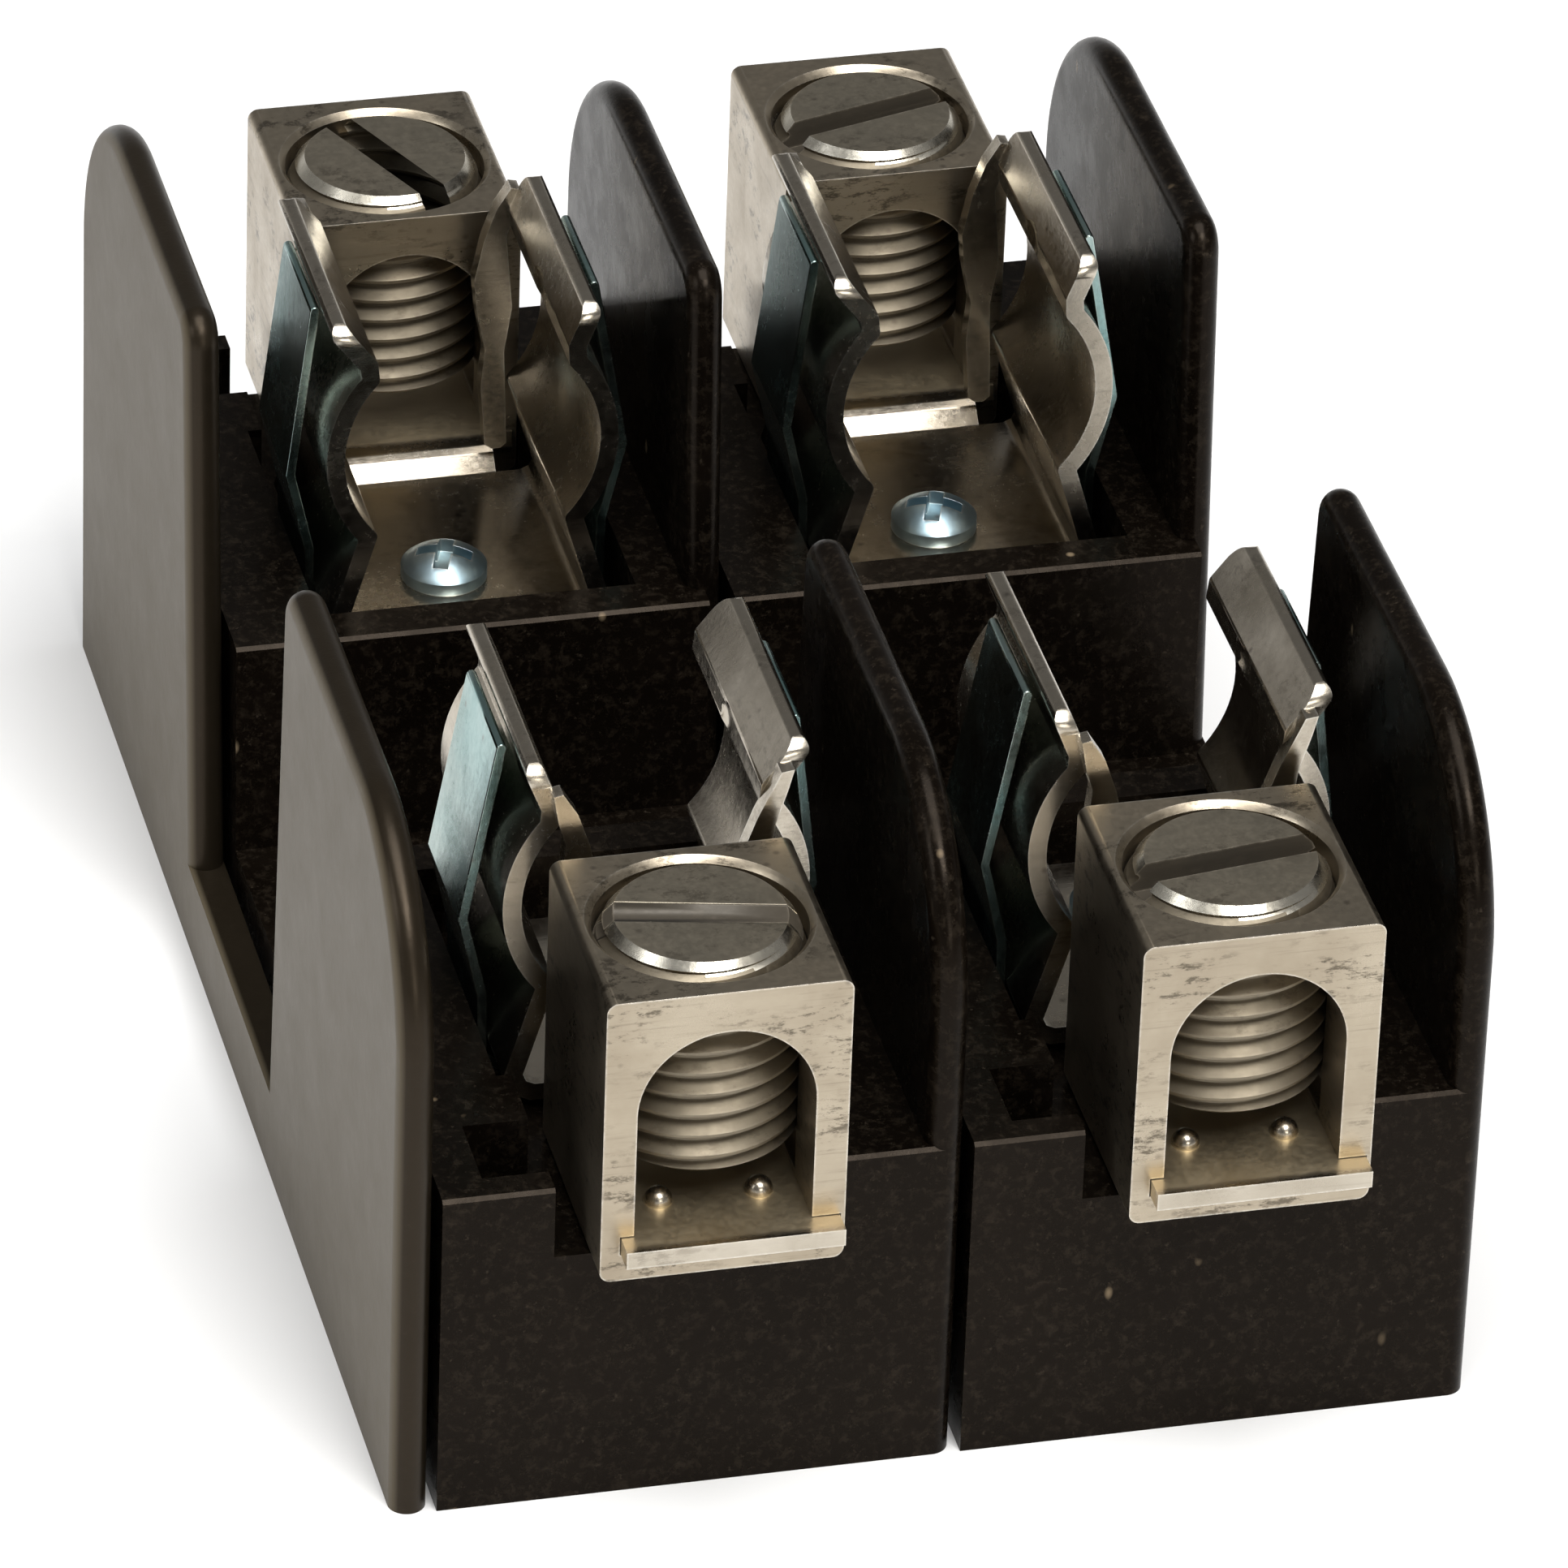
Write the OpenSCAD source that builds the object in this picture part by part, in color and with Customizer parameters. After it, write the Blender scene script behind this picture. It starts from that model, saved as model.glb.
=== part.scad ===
// Two-pole open fuse block for ferrule fuses: snap-together moulded poles, spring fuse
// clips and box lugs.
// X runs across the poles, Y from the front end to the rear end, Z up from the mounting face.

/* [Poles] */
// Distance from one pole to the next
pole_pitch = 28; // [24:0.5:60]
// Gap between neighbouring mouldings
pole_gap = 0.5; // [0.2:0.1:1]
// Length of each moulded pole
base_length = 86.6; // [75:0.2:120]

/* [Pedestals] */
// Height of the raised block at each end
pedestal_height = 19.5; // [14:0.5:30]
// Length of the raised block at each end
pedestal_length = 33; // [28:0.5:45]
// Height of the low floor between the two blocks
valley_height = 6.6; // [4:0.2:10]
// Height of the pocket floor that carries the lug and the clip
pocket_floor = 15.3; // [11:0.1:20]
// Radius of the screw hole through each pole's low floor
mounting_hole_radius = 2.6; // [1.5:0.1:4]

/* [Barriers] */
// Height of the barriers above the mounting face
barrier_height = 38.7; // [30:0.2:60]
// Thickness of the barrier moulded on each pole
barrier_thickness = 2; // [1.6:0.1:2.6]
// Thickness of the separate end barrier
end_barrier_thickness = 2; // [1.6:0.1:2.6]
// Gap between the end barrier and the first pole
end_barrier_gap = 0.4; // [0.2:0.1:1]
// Height of the end barrier's low middle part
end_barrier_low_height = 5.1; // [3:0.1:10]
// Radius of each barrier's outer top corner
barrier_outer_radius = 11.5; // [4:0.5:14]
// Radius of each barrier's inner top corner
barrier_inner_radius = 2; // [1.5:0.5:6]
// Lean of each barrier's inner edge, degrees from upright
barrier_lean = 4.5; // [0:0.5:10]

/* [Fuse clips] */
// Radius of the fuse ferrule that the clip holds
ferrule_radius = 7.15; // [6:0.05:14]
// Height of the fuse axis above the mounting face
fuse_axis_height = 28; // [22:0.5:45]
// Thickness of the clip strip
strip_thickness = 1; // [0.6:0.1:1.6]
// Width of the clip leaf along the fuse
leaf_width = 15.2; // [8:0.2:25]
// Distance from the pole's end to the middle of the clip leaf
clip_middle = 20.9; // [16:0.1:30]
// Half width of the wide-standing lip at its tip
lip_half_width = 7.4; // [6:0.1:12]
// Half width of the closer-standing lip at its tip
close_lip_half_width = 6.5; // [6:0.1:12]
// Height of the lip's tip above the fuse axis
lip_rise = 8.4; // [6:0.1:12]
// Angle of the ferrule seat, each way from level
seat_angle = 41; // [25:1:60]

/* [Clip springs] */
// Thickness of the spring band
spring_thickness = 0.55; // [0.3:0.05:1]
// Width of the spring band along the fuse
spring_width = 7.4; // [4:0.2:14]
// Half width of the spring at its outward bend
spring_bend_half_width = 9.35; // [8:0.1:14]

/* [Box lugs] */
// Width of the lug across the pole
lug_width = 12.85; // [9:0.05:25]
// Length of the lug along the pole
lug_length = 13.45; // [9:0.05:25]
// Height of the lug
lug_height = 17.1; // [12:0.1:30]
// How far the lug stands out past the pole's end
lug_overhang = 2.67; // [0:0.01:5]
// Width of the wire port
port_width = 9.35; // [6:0.05:18]
// Wall between the top of the wire port and the top of the lug
port_roof = 2.4; // [1.5:0.1:5]
// Width of the clip tongue in the lug
tongue_width = 11.5; // [7:0.1:20]
// How far the tongue stands out past the lug
tongue_overhang = 1.4; // [0:0.1:3]
// Sideways shift of the tongue in the lug
tongue_shift = 0.4; // [-0.6:0.1:0.6]

/* [Lug screws] */
// Radius of the set screw's thread
set_screw_radius = 5.55; // [3:0.05:9]
// Length of the set screw
set_screw_length = 12.9; // [8:0.1:20]
// Height of the set screw's top above the top of the lug
set_screw_rise = 0.3; // [-2:0.1:1]
// Width of the screwdriver slot
slot_width = 1.7; // [0.8:0.1:2.5]

/* [Clip screws] */
// Radius of the clip screw's pan head
clip_screw_head_radius = 2.4; // [1.5:0.1:4]
// Height of the clip screw's pan head
clip_screw_head_height = 1.7; // [1:0.1:3]
// Radius of the clip screw's shank
clip_screw_radius = 1.4; // [0.8:0.05:2.5]
// Distance from the pole's end to the clip screw
clip_screw_from_end = 23.4; // [18:0.1:30]

/* [Hidden] */
$fn = 96;

// Overrun of every cutter past the face it opens
cut = 1;

// Pole
half_length = base_length / 2;
pole_width = pole_pitch - pole_gap;
pole_middle = pole_pitch / 2;
valley_half = half_length - pedestal_length;
pedestal_draft = 0.5;
edge_chamfer = 0.2;

// Pocket for the lug and the clip, measured from the pole's end
pocket_left = 5.9;
lug_side_gap = 0.15;
lug_centre_x = pole_middle + 0.1;
lug_left = lug_centre_x - lug_width / 2;
lug_right = lug_centre_x + lug_width / 2;
lug_pocket_length = lug_length - lug_overhang + 0.5;
clip_pocket_right = pole_middle + 8.9;
clip_pocket_left = pole_middle - 8.9;
clip_pocket_end = clip_middle + leaf_width / 2 + 1.9;

// Deep core pocket beside the lug pocket
core_left = 2.4;
core_start = 1.7;
core_end = 6.5;
core_floor = 8;

// Core pockets in the underside of each pedestal
underside_wall = 2.6;
underside_depth = 6;
underside_start = 3;
underside_end = 15;

// Dovetails that join the poles
dovetail_depth = 1.6;
dovetail_root = 4;
dovetail_tip = 5.6;
dovetail_height = 13;
dovetail_from_end = 14;
dovetail_gap = 0.15;

// End barrier stop that rests over the rear pedestal
stop_length = 3;
stop_rise = 2.1;
stop_reach = 0.9;

// Clip strip levels
spring_floor = pocket_floor + 0.02;
strip_bottom = pocket_floor + spring_thickness + 0.05;
strip_middle = strip_bottom + strip_thickness / 2;
strip_top = strip_bottom + strip_thickness;
tongue_rise = 1.05;
tongue_middle = strip_middle + tongue_rise;
tongue_top = tongue_middle + strip_thickness / 2;
tongue_bottom = tongue_middle - strip_thickness / 2;
tongue_tip = -lug_overhang - tongue_overhang;
joggle_start = 11.9;
joggle_end = 13.4;
joggle_middle = (joggle_start + joggle_end) / 2;
joggle_bend = 0.35;
joggle_drop = 0.16;
neck_width = 8.6;
neck_start = lug_length - lug_overhang + 0.1;
leaf_start = clip_middle - leaf_width / 2;
leaf_end = clip_middle + leaf_width / 2;
lip_corner_radius = 1.2;

// Clip leaf, from the fuse axis to the middle of the strip, and the outlines of the end stops.
// One leaf stands closer than the other; a rear clip is a front clip turned half round.
seat_radius = ferrule_radius + strip_thickness / 2;
seat_end_x = seat_radius * cos(seat_angle);
seat_end_z = seat_radius * sin(seat_angle);
floor_drop = fuse_axis_height - strip_middle;
leaf_foot = [[0, -floor_drop], [6.3, -floor_drop], [7.05, -floor_drop + 0.35],
             [7.4, -floor_drop + 1.1], [seat_end_x, -seat_end_z]];
leaf_lip = [[seat_end_x, seat_end_z], [seat_end_x + 0.1, seat_end_z + 0.9],
            [lip_half_width, lip_rise - strip_thickness / 2]];
close_leaf_lip = [[seat_end_x, seat_end_z], [seat_end_x - 0.05, seat_end_z + 0.9],
                  [close_lip_half_width, lip_rise - strip_thickness / 2]];
seat_reach = 2 * ferrule_radius;
stop_start = leaf_start - 0.9;
stop_foot = [[3.5, -0.6], [4, -3], [3.8, -5.4], [4.1, -9.2], [4.5, -9.5], [5, -9.5],
             [5.35, -9.2], [5.1, -3.2], [5.5, -0.4]];
stop_outline = concat([[6.2, 7.3], [5, 4.6], [4, 1.8]], stop_foot,
                      [[5.7, 2], [6, 4.2], [6.6, 6.2], [6.9, 7.4]]);
close_stop_outline = concat([[5.3, 7.3], [4.5, 6], [3.8, 4], [3.3, 1.5]], stop_foot,
                            [[5.3, 2], [5.1, 4.2], [5.5, 5.5], [5.8, 7.2]]);
dimple_radius = 2.6;
dimple_depth = 0.3;

// Spring band, from the fuse axis to the middle of the band
web_drop = fuse_axis_height - spring_floor - spring_thickness / 2;
spring_side = [[0, -web_drop], [7.3, -web_drop], [8.2, -web_drop + 0.8],
               [8.25, -web_drop + 4.6], [spring_bend_half_width, -3]];
spring_top_z = lip_rise - 1.1;
spring_tops = [[lip_half_width + 0.7, spring_top_z], [close_lip_half_width + 1, spring_top_z]];

// Tongue bumps under the wire
bump_radius = 0.75;
bump_lift = 0.1;
bump_spacing = 5.3;
bump_from_end = 0.25;

// Box lug
lug_corner_radius = 0.6;
port_radius = port_width / 2;
lug_top = pocket_floor + lug_height;
port_arch_centre = lug_top - port_roof - port_radius;
tongue_gap = 0.05;
bore_gap = 0.05;
bore_radius = set_screw_radius + bore_gap;
bore_chamfer = 0.35;
bore_end = tongue_top + 0.4;
set_screw_y = lug_length / 2 - lug_overhang + 0.2;

// Set screw
set_screw_top = lug_top + set_screw_rise;
set_screw_bottom = set_screw_top - set_screw_length;
set_screw_chamfer = 1.05;
set_screw_point = 0.9;
slot_depth = 1.6;
front_left_slot_angle = -12;
front_right_slot_angle = 8;
rear_left_slot_angle = -66;
rear_right_slot_angle = 16;

// Clip screw
clip_screw_x = pole_middle - 0.35;
clip_hole_radius = clip_screw_radius + 0.2;
clip_pilot_radius = clip_screw_radius + 0.03;
clip_screw_length = 9;
pilot_depth = clip_screw_length + 1;
head_dome_radius = 3.4;
cross_width = 0.85;
cross_length = 3.1;
cross_depth = 1.2;

// Where a pole's left face stands: zero is the middle of the whole block
function pole_left(pole) = pole * pole_pitch
    + (end_barrier_gap + end_barrier_thickness - 2 * pole_pitch + pole_gap - dovetail_depth) / 2;

// A band of constant thickness that follows a path of points
module band(path, thickness) {
    for (i = [0 : len(path) - 2]) {
        step = path[i + 1] - path[i];
        translate(path[i])
            rotate([0, 0, atan2(step[1], step[0])])
                translate([0, -thickness / 2])
                    square([norm(step), thickness]);
    }
    for (point = path)
        translate(point)
            circle(r = thickness / 2);
}

// Stands a flat shape up across the poles and runs it along Y
module along_y(from, length) {
    translate([0, from + length, 0])
        rotate([90, 0, 0])
            linear_extrude(height = length)
                children();
}

// Stands a flat shape up along the poles and runs it along X
module along_x(from, length) {
    translate([from, 0, 0])
        rotate([90, 0, 90])
            linear_extrude(height = length)
                children();
}

// Moves a part that is drawn from the front left pole's end to its own place
module place(pole, rear) {
    translate([pole_left(pole), 0, 0])
        mirror([0, rear, 0])
            translate([0, -half_length, 0])
                children();
}

// Half of a disc, on the side of positive X
module half_disc(radius) {
    intersection() {
        circle(r = radius);
        translate([0, -radius])
            square([radius, 2 * radius]);
    }
}

// Rounds a straight edge of a plate that lies flat, on the left of the way from start to end
module round_run(start, end, radius) {
    step = end - start;
    translate([start[0], start[1], radius])
        rotate([0, 0, atan2(step[1], step[0])])
            rotate([90, 0, 90])
                linear_extrude(height = norm(step))
                    half_disc(radius);
}

// Rounds the edge of a plate's curved corner
module round_bend(centre, bend_radius, from, angle, radius) {
    translate([centre[0], centre[1], radius])
        rotate([0, 0, from])
            rotate_extrude(angle = angle)
                translate([bend_radius, 0])
                    half_disc(radius);
}

// One end of a barrier with fully rounded edges, standing on the pole's end from x on
module barrier_end(x, thickness) {
    radius = thickness / 2;
    lean_run = tan(barrier_lean);
    foot_y = pedestal_length + 0.2 - radius / cos(barrier_lean);
    inner_bend = barrier_inner_radius - radius;
    outer_bend = barrier_outer_radius - radius;
    top_z = barrier_height - radius;
    inner = [pedestal_length + 0.2 - barrier_height * lean_run
                 - barrier_inner_radius * (1 / cos(barrier_lean) - lean_run),
             barrier_height - barrier_inner_radius];
    outer = [barrier_outer_radius, barrier_height - barrier_outer_radius];
    inner_edge = inner + inner_bend * [cos(barrier_lean), sin(barrier_lean)];
    foot_edge = [foot_y - radius * lean_run, radius];
    translate([x, 0, 0])
        rotate([90, 0, 90]) {
            linear_extrude(height = thickness) {
                polygon([[radius, 0], [foot_y, 0], inner_edge, inner, [inner[0], top_z],
                         [outer[0], top_z], outer, [radius, outer[1]]]);
                translate(inner)
                    circle(r = inner_bend);
                translate(outer)
                    circle(r = outer_bend);
            }
            round_run([radius, 0], [radius, outer[1]], radius);
            round_bend(outer, outer_bend, 90, 90, radius);
            round_run([outer[0], top_z], [inner[0], top_z], radius);
            round_bend(inner, inner_bend, barrier_lean, 90 - barrier_lean, radius);
            round_run(inner_edge, foot_edge, radius);
        }
}

// Plan outline of a dovetail that points to +X from the face at zero
module dovetail(clearance) {
    root = dovetail_root / 2 + clearance;
    tip = dovetail_tip / 2 + clearance;
    polygon([[-0.01, -root], [dovetail_depth + clearance, -tip],
             [dovetail_depth + clearance, tip], [-0.01, root]]);
}

// Both dovetails of one moulding
module dovetail_pair(clearance, height) {
    for (side = [-1, 1])
        translate([0, side * (half_length - dovetail_from_end), 0])
            linear_extrude(height = height)
                dovetail(clearance);
}

// Everything cut from the pedestal at the front end
module pedestal_cuts() {
    translate([pocket_left, -cut, pocket_floor])
        cube([lug_right + lug_side_gap - pocket_left, lug_pocket_length + cut, pedestal_height]);
    translate([clip_pocket_left, lug_pocket_length - 0.6, pocket_floor])
        cube([clip_pocket_right - clip_pocket_left,
              clip_pocket_end - lug_pocket_length + 0.6, pedestal_height]);
    translate([core_left, core_start, core_floor])
        cube([pocket_left - core_left + 0.01, core_end - core_start, pedestal_height]);
    translate([clip_screw_x, clip_screw_from_end, strip_bottom - pilot_depth])
        cylinder(h = pilot_depth, r = clip_pilot_radius);
    translate([underside_wall, underside_start, -cut])
        cube([pole_width - 2 * underside_wall - barrier_thickness,
              underside_end - underside_start, underside_depth + cut]);
}

module base(pole) {
    color([0.11, 0.09, 0.08])
    difference() {
        union() {
            translate([pole_left(pole), -half_length, 0])
                cube([pole_width - barrier_thickness / 2, base_length, valley_height]);
            translate([pole_left(pole) + pole_width - barrier_thickness,
                       barrier_thickness / 2 - half_length, 0])
                cube([barrier_thickness, base_length - barrier_thickness, valley_height]);
            for (rear = [0, 1])
                place(pole, rear) {
                    along_x(0, pole_width - barrier_thickness / 2)
                        polygon([[0, 0], [pedestal_length + pedestal_draft, 0],
                                 [pedestal_length, pedestal_height - edge_chamfer],
                                 [pedestal_length - edge_chamfer, pedestal_height],
                                 [edge_chamfer, pedestal_height],
                                 [0, pedestal_height - edge_chamfer]]);
                    barrier_end(pole_width - barrier_thickness, barrier_thickness);
                }
            translate([pole_left(pole) + pole_width, 0, 0])
                dovetail_pair(0, dovetail_height);
        }
        for (rear = [0, 1])
            place(pole, rear)
                pedestal_cuts();
        translate([pole_left(pole), 0, -cut])
            dovetail_pair(dovetail_gap, dovetail_height + dovetail_gap + cut);
        translate([pole_left(pole) + pole_middle, 0, -cut])
            cylinder(h = valley_height + 2 * cut, r = mounting_hole_radius);
    }
}

module end_barrier() {
    outer_face = -end_barrier_gap - end_barrier_thickness;
    color([0.13, 0.12, 0.11]) {
        for (rear = [0, 1])
            place(0, rear)
                barrier_end(outer_face, end_barrier_thickness);
        translate([pole_left(0) + outer_face, end_barrier_thickness / 2 - half_length, 0])
            cube([end_barrier_thickness, base_length - end_barrier_thickness,
                  end_barrier_low_height]);
        translate([pole_left(0) - end_barrier_gap, 0, 0])
            dovetail_pair(0, dovetail_height);
        translate([pole_left(0) - end_barrier_gap - 0.01, half_length - stop_length - 1,
                   pedestal_height + 0.05])
            cube([end_barrier_gap + stop_reach, stop_length, stop_rise]);
    }
}

// Front view of the whole clip: floor and both leaves, the closer one on the left
module clip_outline() {
    for (side = [0, 1])
        mirror([side, 0]) {
            band(leaf_foot, strip_thickness);
            band(side == 0 ? leaf_lip : close_leaf_lip, strip_thickness);
            intersection() {
                difference() {
                    circle(r = ferrule_radius + strip_thickness);
                    circle(r = ferrule_radius);
                }
                polygon([[0, 0], [seat_reach * cos(seat_angle), -seat_reach * sin(seat_angle)],
                         [seat_reach, -seat_reach * sin(seat_angle)],
                         [seat_reach, seat_reach * sin(seat_angle)],
                         [seat_reach * cos(seat_angle), seat_reach * sin(seat_angle)]]);
            }
        }
}

// Side view that rounds the lip's corners
module leaf_side_outline() {
    top = fuse_axis_height + lip_rise + strip_thickness;
    round_centre = fuse_axis_height + lip_rise - lip_corner_radius;
    translate([leaf_start, 0])
        square([leaf_width, round_centre]);
    translate([leaf_start + lip_corner_radius, 0])
        square([leaf_width - 2 * lip_corner_radius, top]);
    for (y = [leaf_start + lip_corner_radius, leaf_end - lip_corner_radius])
        translate([y, round_centre])
            circle(r = lip_corner_radius);
}

module fuse_clip(pole, rear) {
    dimple_x = seat_end_x - strip_thickness / 2;
    dimple_z = fuse_axis_height + seat_end_z + 0.4;
    color([0.72, 0.69, 0.62])
    place(pole, rear)
        difference() {
            union() {
                intersection() {
                    translate([pole_middle, 0, fuse_axis_height])
                        mirror([rear, 0, 0])
                            along_y(leaf_start, leaf_width)
                                clip_outline();
                    along_x(0, pole_pitch)
                        leaf_side_outline();
                }
                translate([pole_middle, 0, fuse_axis_height])
                    mirror([rear, 0, 0])
                        along_y(stop_start, strip_thickness)
                            for (side = [0, 1])
                                mirror([side, 0])
                                    polygon(side == 0 ? stop_outline : close_stop_outline);
                along_x(lug_centre_x + tongue_shift - neck_width / 2, neck_width)
                    band([[neck_start - 1, tongue_middle], [joggle_start, tongue_middle],
                          [joggle_middle - joggle_bend, tongue_middle - joggle_drop],
                          [joggle_middle + joggle_bend, strip_middle + joggle_drop],
                          [joggle_end, strip_middle], [leaf_start + 1, strip_middle]],
                         strip_thickness);
                translate([lug_centre_x + tongue_shift - tongue_width / 2, tongue_tip, tongue_bottom])
                    cube([tongue_width, neck_start - tongue_tip, strip_thickness]);
                for (side = [-1, 1])
                    translate([pole_middle + side * bump_spacing / 2, bump_from_end,
                               tongue_top + bump_lift])
                        sphere(r = bump_radius);
            }
            translate([clip_screw_x, clip_screw_from_end, strip_bottom - cut])
                cylinder(h = strip_thickness + 2 * cut, r = clip_hole_radius);
            for (side = [-1, 1])
                translate([pole_middle + side * (dimple_x - dimple_radius + dimple_depth),
                           clip_middle, dimple_z])
                    sphere(r = dimple_radius);
        }
}

module clip_spring(pole, rear) {
    color([0.62, 0.68, 0.70])
    place(pole, rear)
        difference() {
            translate([pole_middle, 0, fuse_axis_height])
                mirror([rear, 0, 0])
                    along_y(clip_middle - spring_width / 2, spring_width)
                        for (side = [0, 1])
                            mirror([side, 0])
                                band(concat(spring_side, [spring_tops[side]]),
                                     spring_thickness);
            translate([clip_screw_x, clip_screw_from_end, spring_floor - cut])
                cylinder(h = spring_thickness + 2 * cut, r = clip_hole_radius);
        }
}

module clip_screw(pole, rear) {
    color([0.60, 0.66, 0.72])
    place(pole, rear)
        translate([clip_screw_x, clip_screw_from_end, strip_top + 0.01]) {
            difference() {
                intersection() {
                    cylinder(h = clip_screw_head_height, r = clip_screw_head_radius);
                    translate([0, 0, clip_screw_head_height - head_dome_radius])
                        sphere(r = head_dome_radius);
                }
                for (turn = [0, 90])
                    rotate([0, 0, turn + 20])
                        translate([-cross_length / 2, -cross_width / 2,
                                   clip_screw_head_height - cross_depth])
                            cube([cross_length, cross_width, cross_depth + cut]);
            }
            translate([0, 0, -clip_screw_length + strip_thickness])
                cylinder(h = clip_screw_length - strip_thickness + 0.01, r = clip_screw_radius);
        }
}

// Front view of the lug, with its wire port and tongue slot
module lug_outline() {
    inset = lug_width / 2 - lug_corner_radius;
    difference() {
        union() {
            for (x = [-inset, inset])
                for (z = [pocket_floor + lug_corner_radius, lug_top - lug_corner_radius])
                    translate([x, z])
                        circle(r = lug_corner_radius);
            translate([-lug_width / 2, pocket_floor + lug_corner_radius])
                square([lug_width, lug_height - 2 * lug_corner_radius]);
            translate([-inset, pocket_floor])
                square([2 * inset, lug_height]);
        }
        translate([0, port_arch_centre])
            circle(r = port_radius);
        translate([-port_radius, tongue_bottom])
            square([port_width, port_arch_centre - tongue_bottom]);
        translate([tongue_shift - tongue_width / 2 - tongue_gap, tongue_bottom - tongue_gap])
            square([tongue_width + 2 * tongue_gap, strip_thickness + 2 * tongue_gap]);
    }
}

module lug(pole, rear) {
    color([0.70, 0.67, 0.60])
    place(pole, rear)
        translate([lug_centre_x, 0, 0])
            difference() {
                along_y(-lug_overhang, lug_length)
                    lug_outline();
                translate([0, set_screw_y, bore_end])
                    cylinder(h = lug_top - bore_end + cut, r = bore_radius);
                translate([0, set_screw_y, lug_top - bore_chamfer])
                    cylinder(h = bore_chamfer + 0.01, r1 = bore_radius,
                             r2 = bore_radius + bore_chamfer + 0.01);
            }
}

module lug_screw(pole, rear, slot_angle) {
    color([0.55, 0.52, 0.46])
    place(pole, rear)
        translate([lug_centre_x, set_screw_y, set_screw_bottom])
            difference() {
                union() {
                    cylinder(h = set_screw_point, r1 = set_screw_radius - set_screw_point,
                             r2 = set_screw_radius);
                    translate([0, 0, set_screw_point])
                        cylinder(h = set_screw_length - set_screw_point - set_screw_chamfer,
                                 r = set_screw_radius);
                    translate([0, 0, set_screw_length - set_screw_chamfer])
                        cylinder(h = set_screw_chamfer, r1 = set_screw_radius,
                                 r2 = set_screw_radius - set_screw_chamfer);
                }
                rotate([0, 0, slot_angle])
                    translate([-set_screw_radius - cut, -slot_width / 2,
                               set_screw_length - slot_depth])
                        cube([2 * (set_screw_radius + cut), slot_width, slot_depth + cut]);
            }
}

base(0);  // base_left
base(1);  // base_right
end_barrier();
fuse_clip(0, 0);  // fuse_clip_front_left
fuse_clip(1, 0);  // fuse_clip_front_right
fuse_clip(0, 1);  // fuse_clip_rear_left
fuse_clip(1, 1);  // fuse_clip_rear_right
clip_spring(0, 0);  // clip_spring_front_left
clip_spring(1, 0);  // clip_spring_front_right
clip_spring(0, 1);  // clip_spring_rear_left
clip_spring(1, 1);  // clip_spring_rear_right
clip_screw(0, 0);  // clip_screw_front_left
clip_screw(1, 0);  // clip_screw_front_right
clip_screw(0, 1);  // clip_screw_rear_left
clip_screw(1, 1);  // clip_screw_rear_right
lug(0, 0);  // lug_front_left
lug(1, 0);  // lug_front_right
lug(0, 1);  // lug_rear_left
lug(1, 1);  // lug_rear_right
lug_screw(0, 0, front_left_slot_angle);  // lug_screw_front_left
lug_screw(1, 0, front_right_slot_angle);  // lug_screw_front_right
lug_screw(0, 1, -rear_left_slot_angle);  // lug_screw_rear_left
lug_screw(1, 1, -rear_right_slot_angle);  // lug_screw_rear_right
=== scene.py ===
import math

import bmesh
import bpy
from mathutils import Matrix, Vector


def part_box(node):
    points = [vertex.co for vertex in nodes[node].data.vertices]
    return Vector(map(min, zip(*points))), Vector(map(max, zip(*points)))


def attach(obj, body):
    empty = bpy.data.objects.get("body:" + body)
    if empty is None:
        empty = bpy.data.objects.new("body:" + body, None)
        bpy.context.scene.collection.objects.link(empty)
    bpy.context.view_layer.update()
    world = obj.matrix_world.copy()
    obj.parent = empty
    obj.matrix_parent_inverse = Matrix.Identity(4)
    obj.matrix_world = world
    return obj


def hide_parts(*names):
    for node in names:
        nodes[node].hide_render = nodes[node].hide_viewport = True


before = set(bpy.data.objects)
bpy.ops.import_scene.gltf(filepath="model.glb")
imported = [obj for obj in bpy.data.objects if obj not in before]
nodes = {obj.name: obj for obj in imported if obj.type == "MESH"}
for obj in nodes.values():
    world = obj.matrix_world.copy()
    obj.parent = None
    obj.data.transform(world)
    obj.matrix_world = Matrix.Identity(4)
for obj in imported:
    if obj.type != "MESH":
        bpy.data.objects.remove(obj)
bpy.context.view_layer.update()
scene = bpy.context.scene
MM = 0.001
PLACES = ("front_left", "front_right", "rear_left", "rear_right")

# ---------------------------------------------------------------- camera
# A long lens in front, above and to the left. Its place is measured from the point on the
# mounting face that is in line with the left pole's left face, halfway between the ends.
CAMERA_LENS = 286.6
SENSOR_WIDTH = 36.0
CAMERA_PLACE = Vector((-115.85, -553.1, 383.53)) * MM
CAMERA_RIGHT = Vector((0.97218, -0.23201, 0.03224))
CAMERA_UP = Vector((0.09977, 0.53469, 0.83914))
CAMERA_BACK = Vector((-0.21193, -0.81258, 0.54296))

pole_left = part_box("base_left")[0].x
camera_data = bpy.data.cameras.new("camera")
camera_data.sensor_width = SENSOR_WIDTH
camera_data.lens = CAMERA_LENS
camera_data.clip_start = 0.05
camera_data.clip_end = 20.0
camera = bpy.data.objects.new("camera", camera_data)
scene.collection.objects.link(camera)
turn = Matrix((CAMERA_RIGHT, CAMERA_UP, CAMERA_BACK)).transposed()
start = Vector((pole_left, 0.0, 0.0))
camera.matrix_world = Matrix.Translation(start + CAMERA_PLACE) @ turn.to_4x4()
scene.camera = camera


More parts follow.
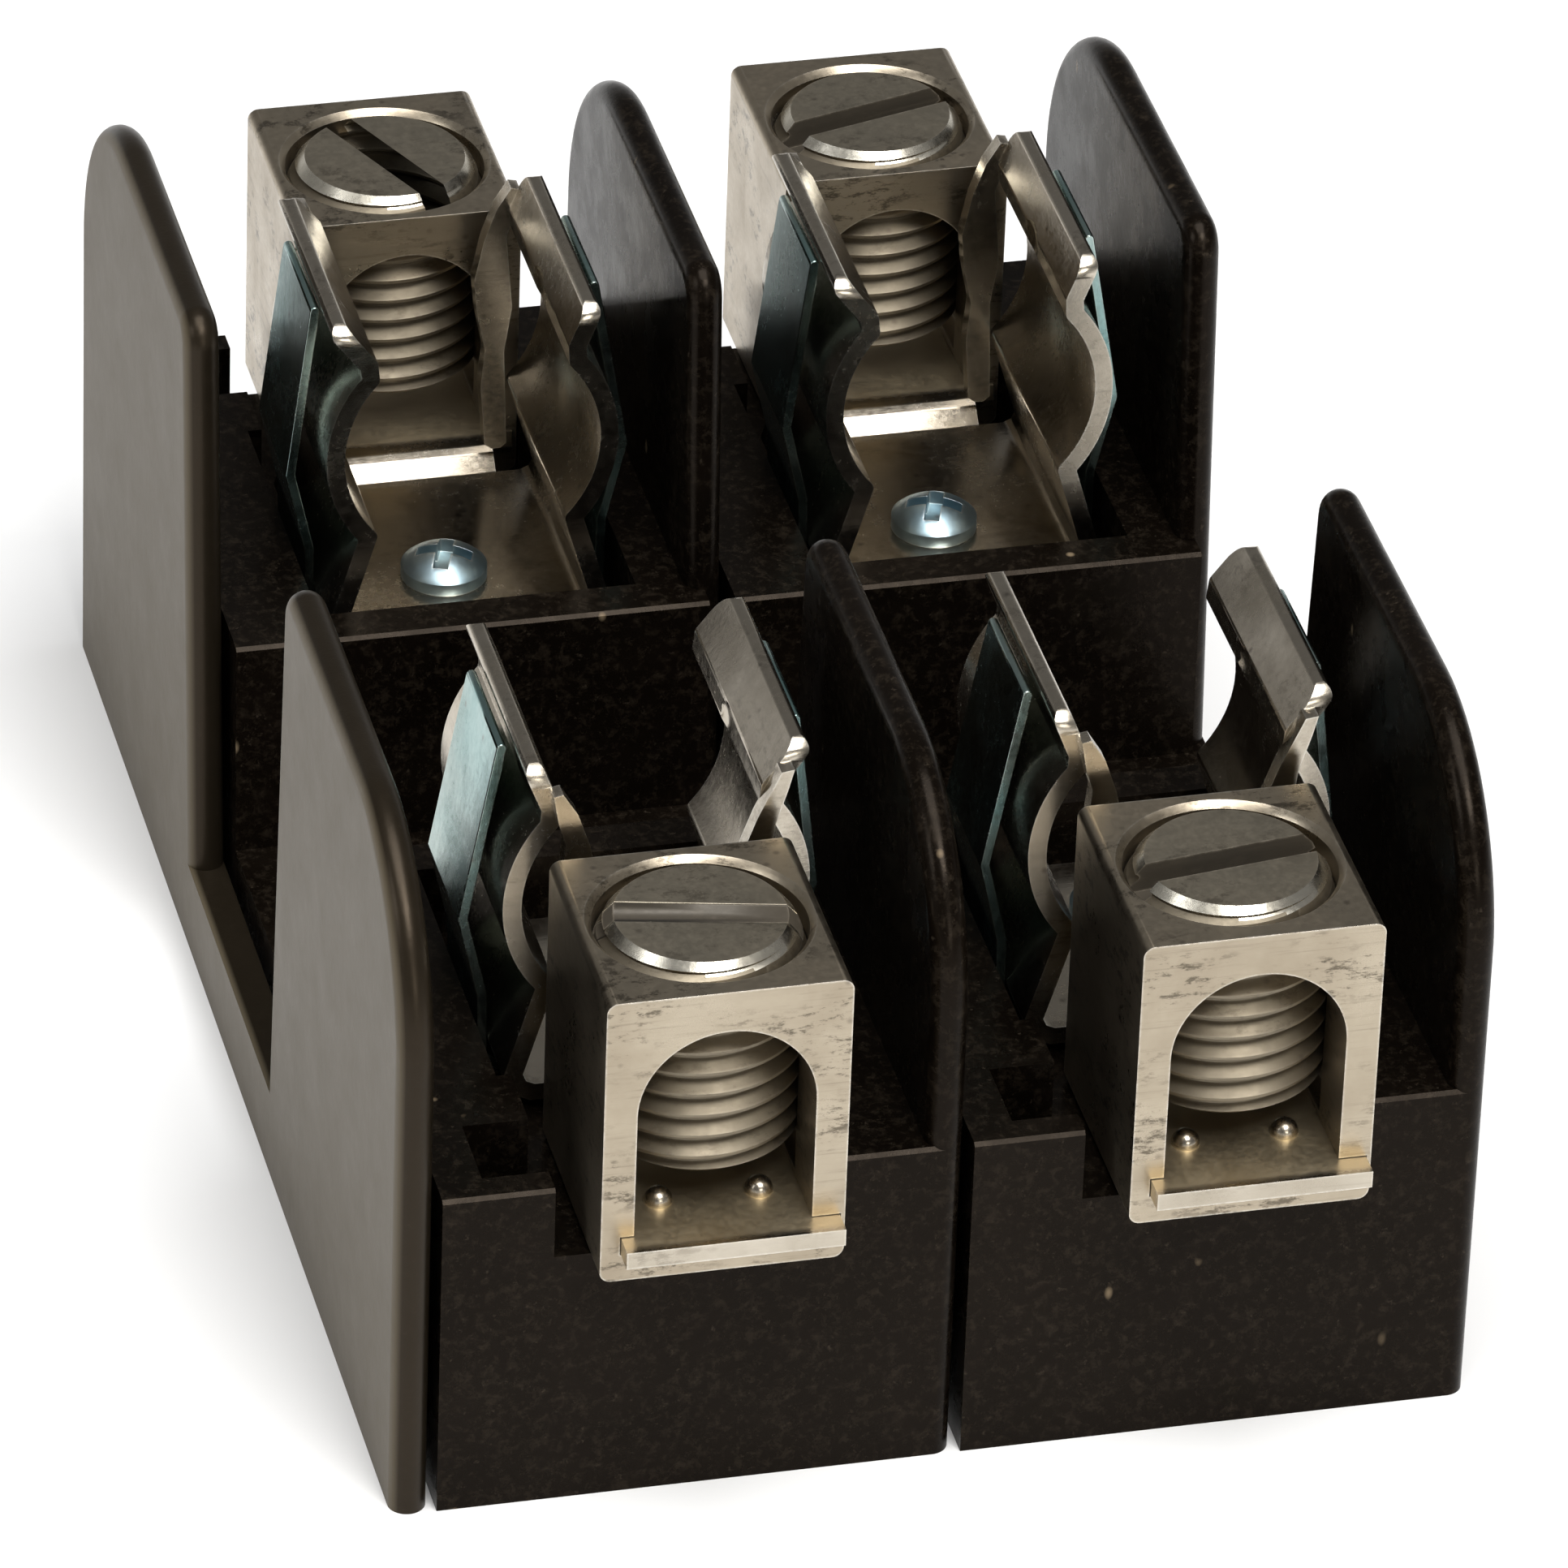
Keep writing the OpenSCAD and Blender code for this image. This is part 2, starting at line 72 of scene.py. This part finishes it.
# ---------------------------------------------------------------- material helpers
class Nodes:
    """A short way to write a node material. Textures follow the object's own metres."""

    def __init__(self, name):
        self.mat = bpy.data.materials.new(name)
        self.mat.use_nodes = True
        self.tree = self.mat.node_tree
        self.tree.nodes.clear()
        out = self.tree.nodes.new("ShaderNodeOutputMaterial")
        self.bsdf = self.tree.nodes.new("ShaderNodeBsdfPrincipled")
        self.link(self.bsdf.outputs[0], out.inputs[0])
        self.coord = self.tree.nodes.new("ShaderNodeTexCoord").outputs["Object"]

    def link(self, a, b):
        self.tree.links.new(a, b)

    def put(self, value, socket):
        """Links a socket, or sets a plain value."""
        if isinstance(value, bpy.types.NodeSocket):
            self.link(value, socket)
        else:
            socket.default_value = value

    def mapped(self, scale=(1, 1, 1), turned=(0, 0, 0), shift=(0, 0, 0)):
        n = self.tree.nodes.new("ShaderNodeMapping")
        self.link(self.coord, n.inputs["Vector"])
        n.inputs["Scale"].default_value = scale
        n.inputs["Rotation"].default_value = turned
        n.inputs["Location"].default_value = shift
        return n.outputs[0]

    def along(self, axis):
        n = self.tree.nodes.new("ShaderNodeSeparateXYZ")
        self.link(self.coord, n.inputs[0])
        return n.outputs[axis]

    def noise(self, vector, scale, detail=4.0, rough=0.55, distort=0.0):
        n = self.tree.nodes.new("ShaderNodeTexNoise")
        self.link(vector, n.inputs["Vector"])
        n.inputs["Scale"].default_value = scale
        n.inputs["Detail"].default_value = detail
        n.inputs["Roughness"].default_value = rough
        n.inputs["Distortion"].default_value = distort
        return n.outputs[0]

    def cells(self, vector, scale):
        n = self.tree.nodes.new("ShaderNodeTexVoronoi")
        self.link(vector, n.inputs["Vector"])
        n.inputs["Scale"].default_value = scale
        return n.outputs[0]

    def ramp(self, value, stops):
        """A grey ramp. Each stop is a place and a brightness."""
        n = self.tree.nodes.new("ShaderNodeValToRGB")
        self.link(value, n.inputs[0])
        for element, (at, grey) in zip(n.color_ramp.elements, stops):
            element.position = at
            element.color = (grey, grey, grey, 1.0)
        return n.outputs[0]

    def range(self, value, low, high, to_low, to_high):
        n = self.tree.nodes.new("ShaderNodeMapRange")
        self.link(value, n.inputs[0])
        for socket, number in zip(n.inputs[1:5], (low, high, to_low, to_high)):
            socket.default_value = number
        return n.outputs[0]

    def mix(self, factor, a, b):
        n = self.tree.nodes.new("ShaderNodeMix")
        n.data_type = "RGBA"
        self.put(factor, n.inputs[0])
        for value, socket in ((a, n.inputs[6]), (b, n.inputs[7])):
            self.put((*value, 1.0) if isinstance(value, tuple) else value, socket)
        return n.outputs[2]

    def math(self, how, a, b=0.0):
        n = self.tree.nodes.new("ShaderNodeMath")
        n.operation = how
        self.put(a, n.inputs[0])
        self.put(b, n.inputs[1])
        return n.outputs[0]

    def edges(self, radius, low, high):
        """1 along the edges, from how far a rounded normal turns from the true one."""
        rounded = self.tree.nodes.new("ShaderNodeBevel")
        rounded.samples = 4
        rounded.inputs["Radius"].default_value = radius
        n = self.tree.nodes.new("ShaderNodeNewGeometry")
        dot = self.tree.nodes.new("ShaderNodeVectorMath")
        dot.operation = "DOT_PRODUCT"
        self.link(rounded.outputs[0], dot.inputs[0])
        self.link(n.outputs["Normal"], dot.inputs[1])
        return self.range(dot.outputs["Value"], 1.0 - low, 1.0 - high, 0.0, 1.0)

    def bump(self, height, strength, distance, under=None):
        n = self.tree.nodes.new("ShaderNodeBump")
        n.inputs["Strength"].default_value = strength
        n.inputs["Distance"].default_value = distance
        self.link(height, n.inputs["Height"])
        if under is not None:
            self.link(under, n.inputs["Normal"])
        return n.outputs[0]

    def surface(self, **sockets):
        for name, value in sockets.items():
            socket = self.bsdf.inputs[name.replace("_", " ")]
            self.put((*value, 1.0) if isinstance(value, tuple) else value, socket)
        return self.mat


# ---------------------------------------------------------------- moulded plastic
MOTTLE_BROWN = (0.034, 0.026, 0.018)
GRIT_BROWN = (0.06, 0.047, 0.034)
FLECK_TAN = (0.20, 0.15, 0.095)
SMUDGE_BLACK = (0.0015, 0.0012, 0.001)
# Painted sheen: the paler colour painted on the end barrier's outer face and its strength, then
# that face's own matt roughness
PAINTED_SHEEN_BROWN = (0.085, 0.070, 0.046)
PAINTED_SHEEN_AMOUNT = 0.9
MATT_FACE_ROUGHNESS = 0.14
# The painted sheen and the matt roughness fade out between these distances from the outer face
SHEEN_FADE_FROM = 0.1 * MM
SHEEN_FADE_TO = 0.4 * MM


def moulding_material(name, base, pale, rough, ripple, mottling, flecks, level, tint,
                      matt_sheen_face=None):
    """Dark moulded plastic: cloudy, mottled, gritty, with a few pale flecks and smudges.

    base and pale are the cloudy colours and rough the roughness range. ripple, mottling and
    flecks are amounts, level and tint set the shine. The last argument is the X of a matt outer
    face, whose colour also gets a painted paler sheen.
    """
    m = Nodes(name)
    cloudy = m.noise(m.mapped(), 110.0, detail=5.0, rough=0.6, distort=0.4)
    mottle = m.noise(m.mapped(turned=(0.4, 0.2, 0.6)), 1500.0, detail=5.0, rough=0.75,
                     distort=0.3)
    grit = m.noise(m.mapped(shift=(4, 8, 1)), 1900.0, detail=3.0, rough=0.8)
    colour = m.mix(m.range(cloudy, 0.35, 0.75, 0.0, 1.0), base, pale)
    colour = m.mix(m.range(mottle, 0.5, 0.72, 0.0, mottling), colour, MOTTLE_BROWN)
    colour = m.mix(m.range(grit, 0.62, 0.76, 0.0, mottling), colour, GRIT_BROWN)
    speck = m.range(m.cells(m.mapped((1, 1, 0.55)), 430.0), 0.05, 0.12, 1.0, 0.0)
    where = m.noise(m.mapped(shift=(3, 1, 2)), 120.0, detail=2.0)
    sparse = m.range(where, 0.6, 0.64, 0.0, flecks)
    colour = m.mix(m.math("MULTIPLY", speck, sparse), colour, FLECK_TAN)
    smudge = m.noise(m.mapped(shift=(6, 1, 9)), 38.0, detail=3.0, rough=0.6)
    colour = m.mix(m.range(smudge, 0.66, 0.74, 0.0, 0.8), colour, SMUDGE_BLACK)
    uneven = m.noise(m.mapped(), 320.0, detail=5.0, rough=0.65)
    roughness = m.range(uneven, 0.3, 0.7, *rough)
    if matt_sheen_face is not None:
        # The outer face is matt, and its colour gets a painted paler sheen that the glossy rim
        # lacks
        matt_and_sheen = m.range(m.along("X"), matt_sheen_face + SHEEN_FADE_FROM, matt_sheen_face + SHEEN_FADE_TO, 1.0, 0.0)
        colour = m.mix(m.math("MULTIPLY", matt_and_sheen, PAINTED_SHEEN_AMOUNT), colour, PAINTED_SHEEN_BROWN)
        roughness = m.math("ADD", roughness, m.math("MULTIPLY", matt_and_sheen, MATT_FACE_ROUGHNESS))
    ripples = m.bump(cloudy, strength=ripple, distance=0.3 * MM)
    grain = m.bump(mottle, strength=0.25, distance=0.05 * MM, under=ripples)
    return m.surface(Base_Color=colour, Roughness=roughness, Normal=grain, IOR=1.5,
                     Specular_IOR_Level=level, Specular_Tint=tint)


# ---------------------------------------------------------------- plated metal
PIT_BROWN = (0.12, 0.10, 0.08)
STAIN_BROWN = (0.09, 0.075, 0.055)
LINE_BROWN = (0.15, 0.125, 0.09)
# Painted light: a brass colour painted on the clip's tongue inside the lug, and its strength;
# the roughness added there is the surface's own
TONGUE_PAINTED_LIGHT_BRASS = (0.60, 0.50, 0.33)
TONGUE_PAINTED_LIGHT_AMOUNT = 0.8
TONGUE_ROUGHNESS = 0.22
# Just over the top of the clip's tongue, from the bottom of the lug
TONGUE_RISE = 2.7 * MM
TOP_FADE = 0.1 * MM
# The tongue's painted light and added roughness fade in before the lug and out again between
# these distances past it
FADE_IN = 0.5 * MM
FADE_OUT_FROM = 0.8 * MM
FADE_OUT_TO = 1.3 * MM
# How far wear reaches from an edge
WEAR_RADIUS = 0.22 * MM
lug_low, lug_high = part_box("lug_rear_left")


def inside_the_lug(m):
    """1 on the part of a clip that is inside its lug, told by its place on the block."""
    far = m.math("ABSOLUTE", m.along("Y"))
    past_inner = m.range(far, lug_low.y - FADE_IN, lug_low.y, 0.0, 1.0)
    before_outer = m.range(far, lug_high.y + FADE_OUT_FROM, lug_high.y + FADE_OUT_TO, 1.0, 0.0)
    tongue_top = lug_low.z + TONGUE_RISE
    below_top = m.range(m.along("Z"), tongue_top, tongue_top + TOP_FADE, 1.0, 0.0)
    return m.math("MULTIPLY", m.math("MULTIPLY", past_inner, before_outer), below_top)


def plated_material(name, bright, dull, rough, streak, turned=(0, 0, 0), stain=0.0,
                    metallic=1.0, edge=(0.9, 0.87, 0.8), tint=None, tongue=False):
    """Plated metal: cloudy, streaked and pitted, with worn edges.

    bright and dull are the cloudy colours, rough is the roughness range, streak and turned
    stretch and turn the streaks, stain is the amount of dirt, edge is the colour of worn
    edges, tint is a coloured film, and tongue makes the part inside the lug rougher and paints
    it a brass colour that stands in for the light it shows there.
    """
    m = Nodes(name)
    cloudy = m.noise(m.mapped(), 190.0, detail=5.0, rough=0.6, distort=0.3)
    streaks = m.noise(m.mapped(streak, turned), 60.0, detail=6.0, rough=0.7)
    fine = m.noise(m.mapped(), 2400.0, detail=4.0, rough=0.7)
    colour = m.mix(m.range(cloudy, 0.3, 0.72, 0.0, 1.0), bright, dull)
    colour = m.mix(m.range(streaks, 0.42, 0.7, 0.0, 0.35), colour, dull)
    if tint is not None:
        film = m.noise(m.mapped(shift=(5, 2, 1)), 75.0, detail=3.0, rough=0.5, distort=0.8)
        colour = m.mix(m.range(film, 0.42, 0.68, 0.0, 0.75), colour, tint)
    pits = m.range(m.cells(m.mapped(shift=(1, 4, 2)), 520.0), 0.04, 0.13, 0.55, 0.0)
    colour = m.mix(pits, colour, PIT_BROWN)
    if stain:
        where = m.noise(m.mapped((0.7, 1.0, 2.0), shift=(2, 7, 3)), 900.0, detail=6.0, rough=0.8)
        patch = m.noise(m.mapped((0.8, 1.0, 1.5), shift=(9, 3, 5)), 150.0, detail=3.0, rough=0.6)
        stains = m.math("MULTIPLY", m.range(where, 0.52, 0.6, 0.0, 1.0),
                        m.range(patch, 0.46, 0.56, 0.0, stain))
        colour = m.mix(stains, colour, STAIN_BROWN)
        lines = m.noise(m.mapped((0.25, 0.25, 9.0), (0, 0.02, 0)), 420.0, detail=5.0, rough=0.75)
        colour = m.mix(m.range(lines, 0.56, 0.68, 0.0, 0.45 * stain), colour, LINE_BROWN)
    worn = m.math("MULTIPLY", m.edges(WEAR_RADIUS, low=0.03, high=0.3),
                  m.range(fine, 0.35, 0.6, 0.2, 0.9))
    colour = m.mix(worn, colour, edge)
    roughness = m.range(cloudy, 0.3, 0.7, *rough)
    roughness = m.math("ADD", roughness, m.range(fine, 0.4, 0.8, 0.0, 0.1))
    if tongue:
        inside = inside_the_lug(m)
        # Painted light: a brass colour on the tongue inside the lug, standing in for the light
        # it shows there
        colour = m.mix(m.math("MULTIPLY", inside, TONGUE_PAINTED_LIGHT_AMOUNT), colour, TONGUE_PAINTED_LIGHT_BRASS)
        roughness = m.math("ADD", roughness, m.math("MULTIPLY", inside, TONGUE_ROUGHNESS))
    scratches = m.bump(streaks, strength=0.18, distance=0.12 * MM)
    grain = m.bump(fine, strength=0.12, distance=0.03 * MM, under=scratches)
    return m.surface(Base_Color=colour, Roughness=roughness, Normal=grain, Metallic=metallic)


# ---------------------------------------------------------------- materials
black = moulding_material(
    "black_moulding", (0.0020, 0.0013, 0.0008), (0.0046, 0.0032, 0.0022), rough=(0.2, 0.34),
    ripple=0.06, mottling=0.42, flecks=0.8, level=0.10, tint=(1.0, 0.82, 0.66))
barrier_black = moulding_material(
    "end_barrier_moulding", (0.009, 0.0068, 0.0042), (0.0115, 0.0088, 0.0056),
    rough=(0.3, 0.36), ripple=0.0, mottling=0.1, flecks=0.25, level=0.25, tint=(1.0, 0.8, 0.6),
    matt_sheen_face=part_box("end_barrier")[0].x)
clip_metal = plated_material(
    "tinned_clip", (0.56, 0.51, 0.43), (0.40, 0.355, 0.285), rough=(0.14, 0.27),
    streak=(1, 6, 6), stain=0.3, tongue=True)
spring_metal = plated_material(
    "zinc_spring", (0.42, 0.52, 0.50), (0.24, 0.34, 0.32), rough=(0.12, 0.28),
    streak=(6, 1, 1), tint=(0.22, 0.42, 0.42))
pan_metal = plated_material(
    "zinc_screw", (0.42, 0.50, 0.51), (0.28, 0.35, 0.38), rough=(0.28, 0.42),
    streak=(2, 2, 2), tint=(0.22, 0.38, 0.48))
lug_metal = plated_material(
    "tinned_lug", (0.46, 0.40, 0.31), (0.355, 0.30, 0.225), rough=(0.24, 0.38),
    streak=(1.2, 1, 14), turned=(0, 0.03, 0), stain=0.8)
# Painted shade: the threads are a darker copy of the screw's metal, standing in for the lug's
# shadow over them; the stains are dirt
thread_painted_shade = plated_material(
    "screw_thread_painted_shade", (0.25, 0.215, 0.16), (0.18, 0.155, 0.115), rough=(0.42, 0.54),
    streak=(1, 1, 5), stain=0.4, edge=(0.36, 0.32, 0.26))
screw_metal = plated_material(
    "tinned_set_screw", (0.34, 0.305, 0.24), (0.25, 0.22, 0.17), rough=(0.36, 0.48),
    streak=(1, 4, 1), stain=0.5, edge=(0.55, 0.49, 0.40))
# Painted shade: the screwdriver slot is a dark copy of the screw's metal
slot_painted_shade = plated_material(
    "screw_slot_painted_shade", (0.075, 0.063, 0.047), (0.05, 0.042, 0.031), rough=(0.4, 0.6),
    streak=(1, 1, 5), stain=0.4, metallic=0.3, edge=(0.3, 0.26, 0.2))
# Painted highlight: the chamfer ring of each set screw is a bright copy of the screw's metal
ring_painted_highlight = plated_material(
    "screw_ring_painted_highlight", (0.88, 0.84, 0.73), (0.72, 0.67, 0.56), rough=(0.16, 0.3),
    streak=(5, 5, 1), edge=(0.95, 0.92, 0.84))


# ---------------------------------------------------------------- the CAD nodes' looks
WELD_DISTANCE = 0.012 * MM
FLAT_ANGLE = math.radians(1.0)
SHARP_ANGLE = math.radians(32.0)


def dress(node, material, rounding):
    """Gives a CAD node its material and rounds its sharp edges by modifiers only."""
    obj = nodes[node]
    obj.data.materials.clear()
    obj.data.materials.append(material)
    for polygon in obj.data.polygons:
        polygon.use_smooth = True
    weld = obj.modifiers.new("weld", "WELD")
    weld.merge_threshold = WELD_DISTANCE
    flat = obj.modifiers.new("flat", "DECIMATE")
    flat.decimate_type = "DISSOLVE"
    flat.angle_limit = FLAT_ANGLE
    bevel = obj.modifiers.new("bevel", "BEVEL")
    bevel.width = rounding
    bevel.segments = 2
    bevel.limit_method = "ANGLE"
    bevel.angle_limit = SHARP_ANGLE
    bevel.use_clamp_overlap = True
    bevel.harden_normals = False
    normal = obj.modifiers.new("normals", "WEIGHTED_NORMAL")
    normal.keep_sharp = False


for node in ("base_left", "base_right"):
    dress(node, black, 0.12 * MM)
dress("end_barrier", barrier_black, 0.2 * MM)
for place in PLACES:
    dress("fuse_clip_" + place, clip_metal, 0.12 * MM)
    dress("clip_spring_" + place, spring_metal, 0.06 * MM)
    dress("clip_screw_" + place, pan_metal, 0.18 * MM)
    dress("lug_" + place, lug_metal, 0.16 * MM)

# ---------------------------------------------------------------- threaded set screws
THREAD_PITCH = 1.27 * MM
THREAD_DEPTH = 0.72 * MM
THREAD_SIDES = 72
# Turns of thread past each end of the screw, cut off later
SPARE_TURNS = 2
# Share of the pitch, and share of the thread's depth, along one turn of the profile
THREAD_PROFILE = ((0.0, 0.0), (0.1, 0.0), (0.18, 0.12), (0.42, 0.9), (0.48, 1.0), (0.6, 1.0),
                  (0.66, 0.9), (0.92, 0.12))
LATHE_SIDES = 144
SCREW_CHAMFER = 1.05 * MM
# The top turn is cut back to a shoulder before the chamfer of the top face
SCREW_RELIEF = 1.75 * MM
SCREW_SHOULDER = 0.5 * MM
SCREW_SHOULDER_DROP = 0.6 * MM
SCREW_POINT = 0.9 * MM
# The small slope around the point's flat end
POINT_EDGE_WIDTH = 0.35 * MM
POINT_EDGE_HEIGHT = 0.2 * MM
SLOT_WIDTH = 1.7 * MM
SLOT_DEPTH = 1.6 * MM
# Turn of each slot, in degrees from straight across the block
SLOT_ANGLES = {"front_left": -12, "front_right": 8, "rear_left": -66, "rear_right": 16}
# Keeps the thread inside the screw's box and takes in the faces of the slot's walls
SMALL_GAP = 0.01 * MM
# Above the shoulder, a face whose normal rises less than this belongs to the ring with the
# painted highlight
TOP_NORMAL_Z = 0.95
# Materials of a screw, in the order of its material slots
SCREW_MATERIALS = (screw_metal, slot_painted_shade, ring_painted_highlight, thread_painted_shade)
SLOT_INDEX, RING_INDEX, THREAD_INDEX = 1, 2, 3


def new_mesh_object(name, mesh):
    obj = bpy.data.objects.new(name, mesh)
    scene.collection.objects.link(obj)
    return obj


def threaded_rod(radius, length):
    """A closed helical rod that runs past both ends of the screw."""
    mesh = bpy.data.meshes.new("rod")
    bm = bmesh.new()
    turns = int(length / THREAD_PITCH) + 2 * SPARE_TURNS
    rows = []
    for turn in range(turns):
        for along, share in THREAD_PROFILE:
            z = (turn + along) * THREAD_PITCH - SPARE_TURNS * THREAD_PITCH
            reach = radius - THREAD_DEPTH * (1 - share)
            row = []
            for side in range(THREAD_SIDES):
                angle = 2 * math.pi * side / THREAD_SIDES
                row.append(bm.verts.new((reach * math.cos(angle), reach * math.sin(angle),
                                         z + THREAD_PITCH * side / THREAD_SIDES)))
            rows.append(row)
    step = len(THREAD_PROFILE)
    for i in range(len(rows) - 1):
        for side in range(THREAD_SIDES - 1):
            bm.faces.new((rows[i][side], rows[i][side + 1],
                          rows[i + 1][side + 1], rows[i + 1][side]))
        if i + step + 1 < len(rows):
            bm.faces.new((rows[i][-1], rows[i + step][0], rows[i + step + 1][0],
                          rows[i + 1][-1]))
    rim = [edge for edge in bm.edges if edge.is_boundary]
    ends = bmesh.ops.holes_fill(bm, edges=rim, sides=0)
    bmesh.ops.triangulate(bm, faces=ends["faces"])
    bmesh.ops.recalc_face_normals(bm, faces=bm.faces)
    bm.to_mesh(mesh)
    bm.free()
    return new_mesh_object("rod", mesh)


def lathe(name, outline):
    """A closed turned body. Each point of the outline is a radius and a height."""
    mesh = bpy.data.meshes.new(name)
    bm = bmesh.new()
    angles = [2 * math.pi * side / LATHE_SIDES for side in range(LATHE_SIDES)]
    rings = [[bm.verts.new((r * math.cos(a), r * math.sin(a), z)) for a in angles]
             for r, z in outline]
    for lower, upper in zip(rings, rings[1:]):
        for side in range(LATHE_SIDES):
            after = (side + 1) % LATHE_SIDES
            bm.faces.new((lower[side], lower[after], upper[after], upper[side]))
    bm.faces.new(list(reversed(rings[0])))
    bm.faces.new(rings[-1])
    bm.to_mesh(mesh)
    bm.free()
    return new_mesh_object(name, mesh)


def combine(obj, other, how):
    """Applies a boolean and leaves the result as obj's own mesh."""
    step = obj.modifiers.new("cut", "BOOLEAN")
    step.operation = how
    step.solver = "EXACT"
    step.object = other
    graph = bpy.context.evaluated_depsgraph_get()
    result = bpy.data.meshes.new_from_object(obj.evaluated_get(graph))
    obj.modifiers.remove(step)
    obj.data = result


def cut_slot(screw, radius, length, angle):
    """Cuts the screwdriver slot across the top of a screw that stands at the origin."""
    bpy.ops.mesh.primitive_cube_add(size=1.0)
    cutter = bpy.context.object
    cutter.scale = (4 * radius, SLOT_WIDTH, 2 * SLOT_DEPTH)
    cutter.rotation_euler = (0, 0, angle)
    cutter.location = (0, 0, length)
    bpy.context.view_layer.update()
    combine(screw, cutter, "DIFFERENCE")
    bpy.data.objects.remove(cutter)


def paint_screw(screw, length, angle):
    """Slot and threads get materials with painted shade, the ring one with a painted highlight;
    the top face keeps the first.
    """
    screw.data.materials.clear()
    for material in SCREW_MATERIALS:
        screw.data.materials.append(material)
    across_slot = Vector((-math.sin(angle), math.cos(angle), 0))
    shoulder = length - SCREW_SHOULDER_DROP
    for polygon in screw.data.polygons:
        centre = polygon.center
        in_slot = abs(centre.dot(across_slot)) < SLOT_WIDTH / 2 + SMALL_GAP
        if in_slot and centre.z > length - SLOT_DEPTH - SMALL_GAP:
            polygon.material_index = SLOT_INDEX
        elif centre.z > shoulder and polygon.normal.z < TOP_NORMAL_Z:
            polygon.material_index = RING_INDEX
        elif centre.z < shoulder:
            polygon.material_index = THREAD_INDEX


def set_screws():
    """Replaces the plain CAD set screws by threaded ones inside the same box."""
    low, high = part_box("lug_screw_front_left")
    radius = (high.x - low.x) / 2
    length = high.z - low.z
    rod = threaded_rod(radius - SMALL_GAP, length)
    form = lathe("form", ((radius - SCREW_POINT - POINT_EDGE_WIDTH, 0),
                          (radius - SCREW_POINT, POINT_EDGE_HEIGHT),
                          (radius, SCREW_POINT),
                          (radius, length - SCREW_RELIEF),
                          (radius - SCREW_SHOULDER, length - SCREW_SHOULDER_DROP),
                          (radius - SCREW_CHAMFER, length)))
    combine(rod, form, "INTERSECT")
    for place in PLACES:
        low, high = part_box("lug_screw_" + place)
        middle = (low + high) / 2
        angle = math.radians(SLOT_ANGLES[place])
        screw = new_mesh_object("set_screw_threaded_" + place, rod.data.copy())
        cut_slot(screw, radius, length, angle)
        paint_screw(screw, length, angle)
        screw.data.transform(Matrix.Translation((middle.x, middle.y, low.z)))
        screw.data.polygons.foreach_set("use_smooth", [True] * len(screw.data.polygons))
        screw.data.set_sharp_from_angle(angle=SHARP_ANGLE)
        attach(screw, "set_screw_" + place)
        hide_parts("lug_screw_" + place)
    bpy.data.objects.remove(rod)
    bpy.data.objects.remove(form)


set_screws()

# ---------------------------------------------------------------- floor
FLOOR_SIZE = 6.0
bpy.ops.mesh.primitive_plane_add(size=FLOOR_SIZE, location=(0, 0, 0))
floor = bpy.context.object
floor.name = "floor"
floor_look = Nodes("floor")
floor_tone = floor_look.noise(floor_look.mapped(), 3.0)
floor_look.surface(Base_Color=floor_look.ramp(floor_tone, ((0.0, 0.86), (1.0, 0.88))),
                   Roughness=0.9)
floor.data.materials.append(floor_look.mat)

# ---------------------------------------------------------------- light
# A pale studio sweep: lighter near the horizon, dim overhead. The heights are the Z of the
# direction, the strengths are what they map to.
SWEEP_HEIGHTS = (0.02, 0.28)
SWEEP_STRENGTHS = (0.55, 0.16)
world = bpy.data.worlds.new("world")
scene.world = world
world.use_nodes = True
tree = world.node_tree
background = tree.nodes["Background"]
direction = tree.nodes.new("ShaderNodeTexCoord")
split = tree.nodes.new("ShaderNodeSeparateXYZ")
sweep = tree.nodes.new("ShaderNodeMapRange")
tree.links.new(direction.outputs["Generated"], split.inputs[0])
tree.links.new(split.outputs["Z"], sweep.inputs[0])
for socket, number in zip(sweep.inputs[1:5], SWEEP_HEIGHTS + SWEEP_STRENGTHS):
    socket.default_value = number
tree.links.new(sweep.outputs[0], background.inputs[1])
background.inputs[0].default_value = (1.0, 0.99, 0.975, 1)


def area_light(name, place, target, size, power, colour=(1, 1, 1)):
    """A rectangular softbox at place that looks at target."""
    data = bpy.data.lights.new(name, "AREA")
    data.shape = "RECTANGLE"
    data.size, data.size_y = size
    data.energy = power
    data.color = colour
    lamp = bpy.data.objects.new(name, data)
    scene.collection.objects.link(lamp)
    lamp.location = place
    lamp.rotation_mode = "QUATERNION"
    lamp.rotation_quaternion = (Vector(target) - Vector(place)).to_track_quat("-Z", "Y")


BLOCK_MIDDLE = (0, 0, 0.02)
MOUNTING_FACE_MIDDLE = (0, 0, 0)
area_light("front_softbox", (0.12, -0.7, 1.0), BLOCK_MIDDLE, (0.5, 0.35), 9.0, (1, 0.985, 0.96))
area_light("left_softbox", (-0.9, -0.25, 0.6), BLOCK_MIDDLE, (0.4, 0.4), 2.0, (0.97, 0.985, 1))
area_light("low_front_light", (0.12, -1.0, 0.34), BLOCK_MIDDLE, (0.3, 0.2), 1.2, (1, 0.96, 0.88))
area_light("floor_light", (0.0, -0.25, 1.7), MOUNTING_FACE_MIDDLE, (1.3, 1.0), 26.0)

scene.view_settings.view_transform = "Standard"
scene.view_settings.look = "None"
scene.view_settings.exposure = 0.0
